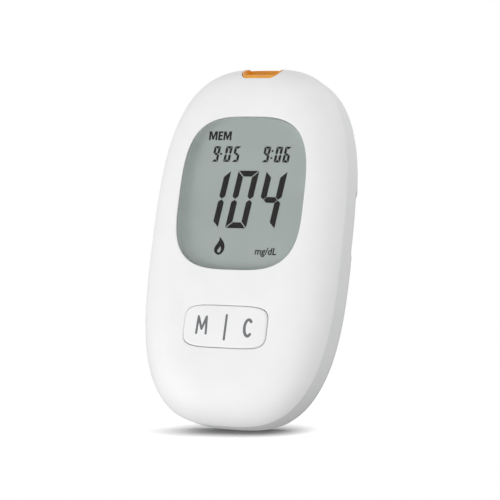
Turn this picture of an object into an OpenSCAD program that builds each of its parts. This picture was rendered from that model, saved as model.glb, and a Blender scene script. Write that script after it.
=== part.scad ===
// Handheld blood glucose meter: two moulded covers, a reflective display behind a
// clear window, one rocking key, a test strip port in the top end, a circuit board
// and a coin cell behind a sliding door in the back.
// +X is to the right of the face, +Y towards the strip port, +Z out of the face.
// The origin is at the centre of the flat back, which lies on z = 0.

/* [Housing] */
// Overall length of the meter
body_l = 96; // [92:1:104]
// Overall width of the meter
body_w = 55; // [54:0.5:62]
// Squareness of the outline: 2 is an ellipse, larger is squarer
outline_n = 3; // [2.9:0.05:3.3]
// Height of the rear cover, from the back to the split line
rear_h = 10.5; // [10:0.25:13]
// Height of the face above the split line
front_h = 6.5; // [6:0.25:8]
// Wall thickness of both covers
wall = 1.6; // [1.4:0.1:1.8]
// Width of the whole rounding between the side and the face
face_round = 11; // [10:0.5:12]
// How far in the shoulder of that rounding stands
shoulder_w = 4.5; // [3.5:0.25:5.5]
// How far in the side leans before it rounds over
side_lean = 1.2; // [0.6:0.1:1.6]
// Height at which the side starts to round over
side_rise = 3.5; // [3:0.25:4]
// Width of the rounding along the edge of the back
back_round_w = 3.6; // [2.5:0.1:4.2]
// Height of the rounding along the edge of the back
back_round_h = 4.7; // [3.5:0.1:5.5]
// Height of the lip that lines up the two covers
lip_h = 1.2; // [0.8:0.1:1.4]

/* [Display] */
// Width of the window
win_w = 36; // [32:0.5:36.5]
// Distance of the window from the top end
win_in = 14.7; // [14.5:0.1:18]
// Distance of the window above the key cap
win_above_key = 9.6; // [8.4:0.1:13]
// How far below its middle the window is widest
win_low = 2.05; // [0:0.05:4]
// Squareness of the window's outline
win_n = 3.3; // [3:0.1:4]
// Depth of the window's surface below the face
lens_recess = 0.35; // [0.2:0.05:0.6]
// Width of the window's glued rim
rim_w = 1.3; // [1:0.1:1.5]
// Thickness of the window's glued rim
rim_t = 0.8; // [0.6:0.1:1]
// Thickness of the adhesive ring
tape_t = 0.2; // [0.1:0.05:0.25]
// Thickness of each glass of the display
glass_t = 1.1; // [0.7:0.1:1.1]
// Width of the contact ledge along the display's lower edge
ledge_w = 2.6; // [2.4:0.1:3]

/* [Key] */
// Width of the key cap
key_w = 23.6; // [20:0.2:25]
// Height of the key cap on the face
key_h = 11; // [10:0.2:12]
// Distance of the key's middle from the lower end
key_in = 25.1; // [23:0.1:26]
// Squareness of the key's outline
key_n = 4.8; // [4:0.1:6]
// Gap around the key cap
key_gap = 0.3; // [0.25:0.05:0.4]
// How far the key stands proud of the face
key_proud = 0.3; // [0.1:0.05:0.5]
// Radius of the key's pivot pins
pivot_r = 0.7; // [0.6:0.05:0.8]
// Distance of each pusher from the middle of the key
pusher_x = 6.5; // [5:0.25:7.5]

/* [Strip port] */
// Width of the port's opening in the covers
port_w = 11.2; // [10.8:0.2:14]
// Height of the opening above the split line
port_up = 4.6; // [4:0.1:4.8]
// Depth of the opening below the split line
port_down = 2.3; // [2:0.1:2.6]
// Width of the test strip's slot
slot_w = 7.4; // [6:0.1:8]
// Height of the test strip's slot
slot_h = 0.9; // [0.6:0.1:1.1]
// Number of strip contacts
contact_count = 6; // [3:1:6]

/* [Battery] */
// Diameter of the coin cell
cell_d = 20; // [19:0.5:20.5]
// Thickness of the coin cell
cell_t = 3.2; // [2.5:0.1:3.2]
// Distance of the cell's middle from the lower end
cell_in = 21; // [20:0.5:26]
// Width of the battery door
door_w = 28; // [26:0.5:29]
// Length of the battery door
door_l = 37; // [36:0.5:42]
// Thickness of the battery door
door_t = 1.6; // [1.4:0.1:1.8]
// Gap around the battery door
door_gap = 0.2; // [0.15:0.05:0.3]

/* [Board and fasteners] */
// Thickness of the circuit board
board_t = 1.2; // [0.8:0.1:1.4]
// Distance of the board's upper face below the split line
board_drop = 1; // [0.8:0.1:1.2]
// Gap between the inside of the covers and the board's edge
board_gap = 1.8; // [1.6:0.1:2.4]
// Radius of the case screws
screw_r = 1; // [0.8:0.05:1.1]
// Radius of the case screws' heads
head_r = 1.9; // [1.7:0.05:2]
// Distance of the lower screws from the sides of the meter
low_screw_in = 9.3; // [9:0.1:9.8]
// Distance of the lower screws from the lower end
low_screw_up = 21; // [19:0.5:26]
// Distance of the upper screws from the middle line
top_screw_x = 13.5; // [12.5:0.1:14]
// Distance of the upper screws from the top end
top_screw_in = 10.5; // [10.2:0.1:11]

/* [Hidden] */

$fn = 48;
outline_steps = 64;    // points round each outline
front_rings = 8;       // steps of the rounding between side and face
rear_rings = 5;        // steps of the rounding along the back
eps = 0.01;            // overlap that fuses two solids of one piece
reach = 60;            // longer than any cut needs to be
fit = 0.05;            // radial clearance of a pin in its hole
play = 0.15;           // clearance of a piece in its pocket

key_y = key_in - body_l / 2;                  // middle of the key
win_top = body_l / 2 - win_in;
win_bottom = key_y + key_h / 2 + win_above_key;
win_wide_y = (win_top + win_bottom) / 2 - win_low;

face_z = rear_h + front_h;
skin_z = face_z - wall;                       // underside of the face
lens_z = skin_z - tape_t - rim_t;             // underside of the window
lcd_top = lens_z - 0.2;                       // air gap under the window
lcd_mid = lcd_top - glass_t;                  // between the two glasses
lcd_low = lcd_mid - glass_t;
reflector_t = 0.2;
board_top = rear_h - board_drop;
board_low = board_top - board_t;
lcd_margin = 0.35;                            // glass beyond the window on each side
lcd_w = win_w + 2 * lcd_margin;
lcd_y0 = win_bottom - lcd_margin - ledge_w;   // lower edge of the front glass
lcd_y1 = win_top + lcd_margin;
lcd_corner = 2.2;                             // clipped lower corners of the glass
lcd_top_corner = 4;                           // clipped upper corners
holder_wall = 0.7;

low_screw_x = body_w / 2 - low_screw_in;
low_screw_y = low_screw_up - body_l / 2;
top_screw_y = body_l / 2 - top_screw_in;
screw_places = [
    [-low_screw_x, low_screw_y], [low_screw_x, low_screw_y],
    [-top_screw_x, top_screw_y], [top_screw_x, top_screw_y]
];
boss_r = screw_r + 1.4;                       // front cover's screw bosses
tower_r = head_r + 0.9;                       // rear cover's screw towers
head_sink = 1;                                // screw heads below the back
head_t = 1.3;
screw_end = skin_z - 1.2;                     // tip of the case screws

pivot_z = skin_z - 1.2;                       // axis of the rocking key
skirt_z = pivot_z - 0.4;                      // lower edge of the key cap
flange_w = 0.9;                               // key's retaining flange
flange_t = 0.8;
ear_gap = 0.3;
ear_t = 1.2;
pin_root = ear_gap + flange_w;                // pin's length within and up to the ear
ear_y = key_h / 2 + flange_w + ear_gap;       // from the key's middle to an ear
pusher_z = pivot_z - 0.9;
pusher_r = 1.3;
press_gap = 0.4;                              // free travel above the rubber domes

slot_z = board_top + 1.4;                     // middle of the strip slot
port_back = body_l / 2 - 6.8;                 // inner end of the port insert
collar_w = 1.4;                               // collar beyond the opening, each side
collar_drop = 0.6;                            // collar beyond the opening, below
port_round = 2.4;                             // rounded upper corners of the opening
mouth_flare = 1.2;                            // mouth beyond the slot, each side
mouth_low = 1.7;                              // floor of the mouth below the slot's middle
mouth_rise = 4.35;                            // scoop of its upper lip above that middle
mouth_deep = 4;
mouth_straight = 2;                           // part of that depth that keeps its width
connector_y1 = port_back - 0.4;
connector_y0 = lcd_y1 + holder_wall + play + 0.5;
connector_h = 2.8;
connector_wall = 3.3;                         // housing beside the connector's slot
connector_w = slot_w + 2 * connector_wall;

cell_y = cell_in - body_l / 2;
door_top = door_l - body_l / 2;
cell_z = door_t + play;
rail_w = 0.9;                                 // tongues along the battery door
rail_t = 0.7;
rail_end = 5 - body_l / 2;
floor_z = door_t + door_gap;                  // floor of the battery compartment
floor_t = 1.2;
well_r = cell_d / 2 + 0.4;
well_wall = 1.2;
well_z = cell_z + cell_t + 0.3;               // underside of the well's roof
roof_t = 0.9;
cap_in = 1.4;                                 // rim of the cell round its inner face
cap_t = 0.5;
contact_w = 4;
leaf_l = 4;                                   // reach of the contact on the inner face
foot_l = 3;                                   // soldered foot of the contact at the rim
sheet_t = 0.3;                                // sheet metal of the contacts

mcu_at = [7, 12];                             // middle of each part on the board
memory_at = [-9, 12];
crystal_at = [-2, 22];
buzzer_at = [-13, -2];
mcu_w = 10;
mcu_t = 1.4;
mcu_pitch = 0.8;
memory_w = 4;
memory_l = 5;
memory_t = 1.5;
memory_pitch = 1.27;
lead_out = 1;                                 // leads beyond a chip's side
lead_t = 0.3;
crystal_r = 1.2;
crystal_l = 6;
buzzer_r = 5.5;
buzzer_t = 2.6;
buzzer_hole = 0.8;
part_w = 1.6;                                 // small parts, in two rows
part_l = 0.8;
part_t = 0.6;
part_pitch = 3;
part_rows = [2, 28];

grip_y = 7.8;                                 // finger recess in each flank
grip_l = 17.5;
grip_h = 3.7;
grip_deep = 0.35;

// Closed outline, flatter than an ellipse on its sides and ends
function egg(half_w, top, bottom, wide_y, n) = [
    for (i = [0 : outline_steps - 1])
        let (t = 360 * i / outline_steps, c = cos(t), s = sin(t))
        let (half_l = s > 0 ? top - wide_y : wide_y - bottom)
        [half_w * sign(c) * pow(abs(c), 2 / n),
         wide_y + half_l * sign(s) * pow(abs(s), 2 / n)]
];
function body_outline(inset) =
    egg(body_w / 2 - inset, body_l / 2 - inset, inset - body_l / 2, 0, outline_n);
function window_outline(grow) =
    egg(win_w / 2 + grow, win_top + grow, win_bottom - grow, win_wide_y, win_n);
function key_outline(grow) =
    egg(key_w / 2 + grow, key_y + key_h / 2 + grow, key_y - key_h / 2 - grow, key_y, key_n);

// Section curve of the front cover's side, as [inset, height above the split]
front_curve = [
    [0, 0], [side_lean, side_rise], [shoulder_w, front_h - 0.2], [face_round, front_h]
];
function bezier(t, p) =
    pow(1 - t, 3) * p[0] + 3 * t * pow(1 - t, 2) * p[1]
    + 3 * t * t * (1 - t) * p[2] + pow(t, 3) * p[3];

// Stacks of sections, each [height, outline], with the side moved in and the face lowered
function front_sections(inset, drop) = [
    for (k = [0 : front_rings])
        let (p = bezier(k / front_rings, front_curve))
        [rear_h + p.y * (front_h - drop) / front_h, body_outline(p.x + inset)]
];
function rear_sections(inset, lift) = concat(
    [for (k = [0 : rear_rings])
        let (a = 90 * k / rear_rings)
        [lift + (back_round_h - lift) * (1 - cos(a)),
         body_outline(inset + back_round_w * (1 - sin(a)))]],
    [[rear_h, body_outline(inset)]]
);

// Closed solid through a stack of sections
module loft(sections) {
    ring = len(sections[0][1]);
    last = len(sections) - 1;
    points = [for (s = sections) for (p = s[1]) [p.x, p.y, s[0]]];
    sides = [
        for (k = [0 : last - 1]) for (i = [0 : ring - 1])
            let (a = k * ring + i, b = k * ring + (i + 1) % ring)
            each [[a, a + ring, b + ring], [a, b + ring, b]]
    ];
    foot = [for (i = [0 : ring - 1]) i];
    crown = [for (i = [0 : ring - 1]) last * ring + ring - 1 - i];
    polyhedron(points, concat(sides, [foot, crown]), convexity = 6);
}

module plate(points, z0, z1) {
    translate([0, 0, z0])
        linear_extrude(z1 - z0)
            polygon(points);
}

module block(x0, x1, y0, y1, z0, z1) {
    translate([x0, y0, z0])
        cube([x1 - x0, y1 - y0, z1 - z0]);
}

module pillar(r, z0, z1) {
    translate([0, 0, z0])
        cylinder(r = r, h = z1 - z0);
}

// Rectangle with clipped corners, centred on the meter's middle line
function clipped(half_w, y0, y1) =
    let (c = lcd_corner, d = lcd_top_corner)
    [[half_w - c, y0], [half_w, y0 + c], [half_w, y1 - d], [half_w - d, y1],
     [d - half_w, y1], [-half_w, y1 - d], [-half_w, y0 + c], [c - half_w, y0]];

// Opening of the strip port, looking along the meter, with two rounded corners
module port_section(w, low, high) {
    r = port_round;
    translate([-w / 2, rear_h - low])
        square([w, low + high - r]);
    translate([-w / 2 + r, rear_h])
        square([w - 2 * r, high]);
    for (side = [-1, 1])
        translate([side * (w / 2 - r), rear_h + high - r])
            circle(r = r);
}

module port_bar(w, low, high, y0, y1) {
    translate([0, y1, 0])
        rotate([90, 0, 0])
            linear_extrude(y1 - y0)
                port_section(w, low, high);
}

// Bearing for one of the key's pivot pins, open below so that the pin snaps in
module key_ear(side) {
    y = key_y + side * (ear_y + ear_t / 2);
    difference() {
        block(-1.8, 1.8, y - ear_t / 2, y + ear_t / 2, pivot_z - 1.3, skin_z + eps);
        translate([0, y, pivot_z])
            rotate([90, 0, 0])
                cylinder(r = pivot_r + fit, h = 2 * ear_t, center = true);
        block(-pivot_r + 0.15, pivot_r - 0.15, y - ear_t, y + ear_t, pivot_z - 2, pivot_z);
    }
}

module front_cover() {
    color("white")
    difference() {
        union() {
            difference() {
                loft(front_sections(0, 0));
                loft(concat([[rear_h - 1, body_outline(wall)]], front_sections(wall, wall)));
            }
            // Lip that stands inside the rear cover's edge
            difference() {
                plate(body_outline(wall / 2 + 0.1), rear_h - lip_h, rear_h + eps);
                plate(body_outline(wall), rear_h - lip_h - 1, rear_h + 1);
            }
            // Screw bosses, down to the board
            intersection() {
                for (p = screw_places)
                    translate([p.x, p.y, 0])
                        pillar(boss_r, board_top, face_z);
                loft(concat([[board_top - 1, body_outline(wall / 2)]],
                            front_sections(wall / 2, wall / 2)));
            }
            key_ear(-1);
            key_ear(1);
        }
        plate(window_outline(0), rear_h, face_z + 1);
        plate(window_outline(rim_w + play), rear_h, skin_z);
        plate(key_outline(key_gap), skin_z - 1, face_z + 1);
        port_bar(port_w, lip_h + 1, port_up, body_l / 2 - 12, reach);
        for (p = screw_places)
            translate([p.x, p.y, 0])
                pillar(screw_r + fit, board_top - 1, screw_end + 0.4);
    }
}

// Space that the battery door slides through, with a groove on each side
module door_space() {
    block(-door_w / 2 - door_gap, door_w / 2 + door_gap, -reach, door_top + door_gap,
          -1, floor_z);
    block(-door_w / 2 - rail_w - door_gap, door_w / 2 + rail_w + door_gap,
          -reach, door_top + door_gap, door_t - rail_t - door_gap / 2, floor_z);
}

// Shallow finger recess in one flank, at the rounding of the back
module grip_cut(side) {
    intersection() {
        translate([side * body_w / 2, grip_y, back_round_h - grip_h / 2])
            rotate([0, 90, 0])
                linear_extrude(8, center = true) {
                    square([grip_h, grip_l - grip_h], center = true);
                    for (end = [-1, 1])
                        translate([0, end * (grip_l - grip_h) / 2])
                            circle(d = grip_h);
                }
        difference() {
            block(-reach, reach, grip_y - grip_l, grip_y + grip_l, 0, rear_h);
            loft(rear_sections(grip_deep, 0));
        }
    }
}

module rear_cover() {
    color("whitesmoke")
    difference() {
        union() {
            difference() {
                loft(rear_sections(0, 0));
                loft(concat(rear_sections(wall, wall), [[rear_h + 1, body_outline(wall)]]));
            }
            // Compartment floor, battery well and screw towers, inside the shell
            intersection() {
                union() {
                    block(-door_w / 2 - 3, door_w / 2 + 3, -reach, door_top + 2,
                          wall - eps, floor_z + floor_t);
                    translate([0, cell_y, 0])
                        pillar(well_r + well_wall, wall, well_z + roof_t);
                    for (p = screw_places)
                        translate([p.x, p.y, 0])
                            pillar(tower_r, wall - eps, board_low);
                    // Ribs under the strip port
                    for (side = [-1, 1])
                        block(side * 4 - 0.6, side * 4 + 0.6, port_back + 1,
                              body_l / 2, wall - eps, rear_h - port_down - collar_drop);
                }
                loft(rear_sections(wall / 2, 0));
            }
        }
        // Rebate for the front cover's lip
        plate(body_outline(wall / 2), rear_h - lip_h - 0.1, rear_h + 1);
        door_space();
        translate([0, cell_y, 0])
            pillar(well_r, 0, well_z);
        // Openings of the well for its two contacts
        block(-leaf_l - 1, leaf_l + 1, cell_y - contact_w / 2 - 0.5,
              cell_y + contact_w / 2 + 0.5, well_z - eps, rear_h);
        block(cell_d / 2 - 0.4, well_r + well_wall + 1, cell_y - contact_w / 2 - 0.5,
              cell_y + contact_w / 2 + 0.5, floor_z + floor_t, rear_h);
        port_bar(port_w, port_down, port_up, body_l / 2 - 12, reach);
        for (p = screw_places)
            translate([p.x, p.y, 0]) {
                pillar(head_r + 0.25, -1, head_sink + head_t);
                pillar(screw_r + 0.15, -1, rear_h);
            }
        grip_cut(-1);
        grip_cut(1);
    }
}

module battery_door() {
    rib_count = 5;
    color("whitesmoke")
    difference() {
        union() {
            intersection() {
                block(-door_w / 2, door_w / 2, -reach, door_top, 0, door_t);
                loft(rear_sections(0, 0));
            }
            block(-door_w / 2 - rail_w, door_w / 2 + rail_w, rail_end, door_top,
                  door_t - rail_t, door_t);
        }
        // Grooves for the thumb
        for (i = [0 : rib_count - 1])
            block(-6 + i * 0.6, 6 - i * 0.6, door_top - 4 - i * 1.4,
                  door_top - 3.3 - i * 1.4, -1, 0.4);
    }
}

module display_lens() {
    color("lightblue", 0.4) {
        plate(window_outline(-0.1), skin_z - tape_t - eps, face_z - lens_recess);
        plate(window_outline(rim_w), lens_z, skin_z - tape_t);
    }
}

module lens_tape() {
    color("dimgray")
    difference() {
        plate(window_outline(rim_w), skin_z - tape_t, skin_z);
        plate(window_outline(0), skin_z - 1, skin_z + 1);
    }
}

module lcd_front_glass() {
    color("lightgray")
        plate(clipped(lcd_w / 2, lcd_y0, lcd_y1), lcd_mid, lcd_top);
}

module lcd_rear_glass() {
    color("darkseagreen")
        plate(clipped(lcd_w / 2, lcd_y0 + ledge_w, lcd_y1), lcd_low, lcd_mid);
}

module lcd_reflector() {
    color("silver")
        plate(clipped(lcd_w / 2, lcd_y0 + ledge_w, lcd_y1), lcd_low - reflector_t,
              lcd_low);
}

// Moulded frame that carries the display above the board
module lcd_holder() {
    out = lcd_w / 2 + play + holder_wall;
    base_z = lcd_low - reflector_t;
    color("ivory")
    union() {
        difference() {
            plate(clipped(out, lcd_y0 - play - holder_wall, lcd_y1 + play + holder_wall),
                  board_top, base_z);
            plate(clipped(out - 3, lcd_y0 + ledge_w + 2, lcd_y1 - 3), board_top - 1,
                  base_z + 1);
            block(-lcd_w / 2 + 1.2, lcd_w / 2 - 1.2, lcd_y0 + 0.2, lcd_y0 + ledge_w - 0.2,
                  board_top - 1, base_z + 1);
        }
        for (side = [-1, 1])
            translate([side * (out - holder_wall / 2), win_wide_y, 0])
                block(-holder_wall / 2, holder_wall / 2, -16, 16, base_z - eps,
                      lcd_top - 0.3);
        for (x = [-1, 1]) for (y = [lcd_y0 + ledge_w + 4, lcd_y1 - 5])
            translate([x * (out - 1.5), y, 0])
                pillar(0.8, board_low, board_top + eps);
    }
}

module zebra_strip() {
    color("dimgray")
        block(-lcd_w / 2 + 1.4, lcd_w / 2 - 1.4, lcd_y0 + 0.4, lcd_y0 + ledge_w - 0.4,
              board_top, lcd_mid);
}

module circuit_board() {
    out = lcd_w / 2 + play + holder_wall;
    color("seagreen")
    difference() {
        intersection() {
            plate(body_outline(wall + board_gap), board_low, board_top);
            block(-reach, reach, -reach, port_back - 0.3, 0, face_z);
        }
        for (p = screw_places)
            translate([p.x, p.y, 0])
                pillar(screw_r + 0.2, 0, face_z);
        for (x = [-1, 1]) for (y = [lcd_y0 + ledge_w + 4, lcd_y1 - 5])
            translate([x * (out - 1.5), y, 0])
                pillar(0.8 + fit, 0, face_z);
    }
}

// Rocking key: a thin shell with a flange under the face and two pivot pins
module key_cap() {
    top = face_z + key_proud;
    color("white")
    union() {
        difference() {
            union() {
                loft([
                    [skirt_z, key_outline(0)],
                    [top - 0.5, key_outline(0)],
                    [top - 0.15, key_outline(-0.15)],
                    [top, key_outline(-0.5)]
                ]);
                plate(key_outline(flange_w), skirt_z, skirt_z + flange_t);
            }
            plate(key_outline(-1.2), skirt_z - 1, top - 1.2);
        }
        for (side = [-1, 1]) {
            translate([side * pusher_x, key_y, 0])
                pillar(pusher_r, pusher_z, top - 1);
            translate([0, key_y + side * (ear_y + ear_t / 2 - pin_root / 2), pivot_z])
                rotate([90, 0, 0])
                    cylinder(r = pivot_r, h = ear_t + pin_root, center = true);
            // Web that carries the pin
            block(-1.6, 1.6, key_y + side * (key_h / 2 - 0.8) - 0.8,
                  key_y + side * (key_h / 2 - 0.8) + 0.8, skirt_z, top - 1);
        }
    }
}

module key_mat() {
    dome_top = pusher_z - press_gap;
    color("lightgray")
    union() {
        block(-key_w / 2 - 1, key_w / 2 + 1, key_y - key_h / 2 - 1, key_y + key_h / 2 + 1,
              board_top, board_top + 0.8);
        for (side = [-1, 1])
            translate([side * pusher_x, key_y, board_top + 0.8 - eps])
                cylinder(r1 = 3.8, r2 = 2.2, h = dome_top - board_top - 0.8 + eps);
    }
}

// Orange insert: a nose flush with the covers, a collar behind their wall and a
// mouth that narrows to the strip's slot, with its upper lip scooped back
module strip_port() {
    color("darkorange")
    difference() {
        union() {
            intersection() {
                port_bar(port_w - 2 * play, port_down - play, port_up - play,
                         port_back, reach);
                union() {
                    loft(front_sections(0, 0));
                    loft(rear_sections(0, 0));
                }
            }
            intersection() {
                port_bar(port_w + 2 * collar_w, port_down + collar_drop, port_up - 0.6,
                         port_back, body_l / 2);
                loft(concat([[rear_h - 4, body_outline(wall + play)]],
                            front_sections(wall + play, wall + play)));
            }
        }
        block(-slot_w / 2, slot_w / 2, port_back - 1, reach,
              slot_z - slot_h / 2, slot_z + slot_h / 2);
        hull() {
            block(-slot_w / 2 - mouth_flare, slot_w / 2 + mouth_flare,
                  body_l / 2 - mouth_straight, body_l / 2 + 1, slot_z - mouth_low,
                  slot_z + mouth_rise);
            block(-slot_w / 2, slot_w / 2, body_l / 2 - mouth_deep,
                  body_l / 2 - mouth_deep + 0.1, slot_z - slot_h / 2, slot_z + slot_h / 2);
        }
    }
}

module strip_connector() {
    color("black")
    difference() {
        block(-connector_w / 2, connector_w / 2, connector_y0, connector_y1,
              board_top, board_top + connector_h);
        block(-slot_w / 2, slot_w / 2, connector_y0 + 1, reach,
              slot_z - slot_h / 2, slot_z + slot_h / 2);
        for (i = [0 : contact_count - 1])
            translate([contact_x(i), 0, 0])
                block(-0.35, 0.35, connector_y0 + 1, connector_y1 + 1,
                      slot_z, board_top + connector_h + 1);
    }
}

function contact_x(i) = (i - (contact_count - 1) / 2) * (slot_w - 1.4) / (contact_count - 1);

module strip_contacts() {
    spring_z = slot_z + slot_h / 2;
    color("gold")
        for (i = [0 : contact_count - 1])
            translate([contact_x(i), 0, 0])
                block(-0.25, 0.25, connector_y0 + 1, connector_y1 - 0.5,
                      spring_z, spring_z + 0.25);
}

module chip(x, y, w, l, h) {
    translate([x, y, 0])
        block(-w / 2, w / 2, -l / 2, l / 2, board_low - h, board_low);
}

module microcontroller() {
    span = mcu_w + 2 * lead_out;
    color("black") {
        chip(mcu_at.x, mcu_at.y, mcu_w, mcu_w, mcu_t);
        // Leads along the four sides
        for (i = [-5 : 5]) {
            chip(mcu_at.x + i * mcu_pitch, mcu_at.y, lead_t, span, lead_t);
            chip(mcu_at.x, mcu_at.y + i * mcu_pitch, span, lead_t, lead_t);
        }
    }
}

module memory_chip() {
    color("black") {
        chip(memory_at.x, memory_at.y, memory_w, memory_l, memory_t);
        for (i = [-1.5 : 1.5])
            chip(memory_at.x, memory_at.y + i * memory_pitch, memory_w + 2 * lead_out,
                 lead_t, lead_t);
    }
}

module crystal() {
    color("silver")
        translate([crystal_at.x, crystal_at.y, board_low - crystal_r])
            rotate([0, 90, 0])
                cylinder(r = crystal_r, h = crystal_l, center = true);
}

module buzzer() {
    color("black")
        translate([buzzer_at.x, buzzer_at.y, 0])
            difference() {
                pillar(buzzer_r, board_low - buzzer_t, board_low);
                pillar(buzzer_hole, board_low - buzzer_t - 1, board_low - buzzer_t + 1);
            }
}

module chip_parts() {
    color("tan")
        for (i = [-2 : 2]) for (y = part_rows)
            chip(i * part_pitch, y, part_w, part_l, part_t);
}

module coin_cell() {
    color("silver")
        translate([0, cell_y, 0]) {
            pillar(cell_d / 2, cell_z, cell_z + cell_t - cap_t);
            pillar(cell_d / 2 - cap_in, cell_z, cell_z + cell_t);
        }
}

// Leaf on the board that presses on the cell's inner face
module cell_contact_minus() {
    tip_z = cell_z + cell_t;
    color("gold")
        translate([0, cell_y, 0]) {
            block(-leaf_l, 0, -contact_w / 2, contact_w / 2, board_low - sheet_t,
                  board_low);
            hull() {
                block(-0.5, 0, -contact_w / 2, contact_w / 2, board_low - sheet_t,
                      board_low);
                block(leaf_l - 0.5, leaf_l, -contact_w / 2, contact_w / 2, tip_z,
                      tip_z + sheet_t);
            }
        }
}

// Leaf on the board that reaches down to the cell's rim
module cell_contact_plus() {
    x = cell_d / 2 + 0.1;
    color("gold")
        translate([0, cell_y, 0]) {
            block(x, x + sheet_t, -contact_w / 2, contact_w / 2, floor_z + floor_t + play,
                  board_low);
            block(x - foot_l, x + sheet_t, -contact_w / 2, contact_w / 2,
                  board_low - sheet_t, board_low);
        }
}

module case_screws() {
    slot_w = 0.5;
    color("silver")
        for (p = screw_places)
            translate([p.x, p.y, 0])
                difference() {
                    union() {
                        pillar(head_r, head_sink, head_sink + head_t);
                        pillar(screw_r, head_sink, screw_end);
                    }
                    for (turn = [0, 90])
                        rotate([0, 0, turn])
                            block(-1.1, 1.1, -slot_w / 2, slot_w / 2, 0, head_sink + 0.8);
                }
}

front_cover();
rear_cover();
battery_door();
display_lens();
lens_tape();
lcd_front_glass();
lcd_rear_glass();
lcd_reflector();
lcd_holder();
zebra_strip();
circuit_board();
key_cap();
key_mat();
strip_port();
strip_connector();
strip_contacts();
microcontroller();
memory_chip();
crystal();
buzzer();
chip_parts();
coin_cell();
cell_contact_plus();
cell_contact_minus();
case_screws();
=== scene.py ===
# %% [markdown]
# # Dressing a blood glucose meter
# The meter's solids come packed from the CAD model and stay where they are. This script
# gives each of them its real surface, and builds smoother covers, key, window, strip
# port and battery door over the plain ones, so that light runs evenly over the plastic.
# Sizes are in millimetres and repeat the CAD model's own values, unless a comment says
# otherwise. The frame is the CAD model's too: +X right of the face, +Y to the strip
# port, +Z out of the face.

# %% Load the fixed frame
import math
import bmesh
import bpy
from mathutils import Matrix, Vector
from mathutils.kdtree import KDTree


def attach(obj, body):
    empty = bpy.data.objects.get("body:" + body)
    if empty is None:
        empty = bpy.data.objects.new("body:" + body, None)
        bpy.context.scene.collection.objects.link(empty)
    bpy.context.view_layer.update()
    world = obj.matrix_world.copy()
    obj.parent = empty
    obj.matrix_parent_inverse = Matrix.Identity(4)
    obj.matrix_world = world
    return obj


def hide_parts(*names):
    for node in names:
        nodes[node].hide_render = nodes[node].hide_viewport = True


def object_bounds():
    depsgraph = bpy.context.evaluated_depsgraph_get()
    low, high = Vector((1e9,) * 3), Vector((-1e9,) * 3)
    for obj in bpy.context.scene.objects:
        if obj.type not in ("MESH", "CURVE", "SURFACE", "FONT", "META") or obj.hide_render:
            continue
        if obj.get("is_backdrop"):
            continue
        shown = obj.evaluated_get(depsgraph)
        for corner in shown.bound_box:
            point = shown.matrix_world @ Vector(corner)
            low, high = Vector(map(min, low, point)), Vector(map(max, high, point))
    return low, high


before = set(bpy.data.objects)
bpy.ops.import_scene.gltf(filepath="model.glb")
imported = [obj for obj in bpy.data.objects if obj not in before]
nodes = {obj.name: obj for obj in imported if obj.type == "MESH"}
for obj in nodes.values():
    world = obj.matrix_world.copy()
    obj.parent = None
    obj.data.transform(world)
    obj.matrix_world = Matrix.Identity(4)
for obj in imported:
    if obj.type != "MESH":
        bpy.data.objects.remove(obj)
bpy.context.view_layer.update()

# %% [markdown]
# ## The camera
# A product picture is taken from far away with a long lens, which keeps the two sides of
# the object nearly parallel. Here the camera looks at the face from the right and a
# little from the key's end. Its three axes are given as rows, and the lens follows from
# how many pixels one millimetre takes at the object's middle.

# %% Camera
MM = 0.001
PICTURE = 500                      # pixels along each side of the picture
PIXELS_PER_MM = 3.807              # at the middle of the meter
DISTANCE = 608.7
SENSOR = 36
LOOK_AT = Vector((0, 0, 10.5))
CAM_RIGHT = Vector((0.90356, 0.11381, -0.41308))
CAM_UP = Vector((-0.02559, 0.97669, 0.21311))
CAM_BACK = Vector((0.42770, -0.18198, 0.88541))
MIDDLE_PIXEL = (245.54, 245.35)    # where the lens's axis meets the picture


def unselect():
    """Nothing selected, so that the next operator acts on its own piece alone."""
    bpy.ops.object.select_all(action="DESELECT")


unselect()
bpy.ops.object.camera_add(location=(LOOK_AT + DISTANCE * CAM_BACK) * MM)
camera = bpy.context.object
camera.name = "picture_camera"
camera.rotation_mode = "QUATERNION"
camera.rotation_quaternion = (
    Matrix((CAM_RIGHT, CAM_UP, CAM_BACK)).transposed().to_quaternion()
)
camera.data.sensor_width = SENSOR
camera.data.lens = SENSOR * PIXELS_PER_MM * DISTANCE / PICTURE
camera.data.shift_x = (PICTURE / 2 - MIDDLE_PIXEL[0]) / PICTURE
camera.data.shift_y = (MIDDLE_PIXEL[1] - PICTURE / 2) / PICTURE
bpy.context.scene.camera = camera
print("lens", round(camera.data.lens, 1), "mm at", tuple(round(x, 3) for x in camera.location))

# %% [markdown]
# ## Outlines
# Every outline on this meter is a squarish oval: an ellipse whose corners are pushed
# out. One function gives its points at a height, and three short ones fit it to the
# body, the window and the key. Growing an outline by a distance moves all its sides.

# %% Outline functions
STEPS = 256                        # points round an outline, so that no corner shows
BODY_W, BODY_L, BODY_N = 55, 96, 3
SPLIT_Z, FACE_H = 10.5, 6.5
FACE_Z = SPLIT_Z + FACE_H
SKIN_Z = 15.4                      # underside of the face
WIN_W, WIN_TOP, WIN_BOTTOM, WIN_WIDE_Y, WIN_N = 36, 33.3, -7.8, 10.7, 3.3
KEY_W, KEY_H, KEY_Y, KEY_N = 23.6, 11, -22.9, 4.8


def egg(half_w, top, bottom, wide_y, n, z):
    """Points of one closed outline at height z, squarer than an ellipse for n over 2."""
    points = []
    for i in range(STEPS):
        c, s = math.cos(2 * math.pi * i / STEPS), math.sin(2 * math.pi * i / STEPS)
        half_l = top - wide_y if s > 0 else wide_y - bottom
        x = math.copysign(half_w * abs(c) ** (2 / n), c)
        y = wide_y + math.copysign(half_l * abs(s) ** (2 / n), s)
        points.append(Vector((x, y, z)))
    return points


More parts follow.
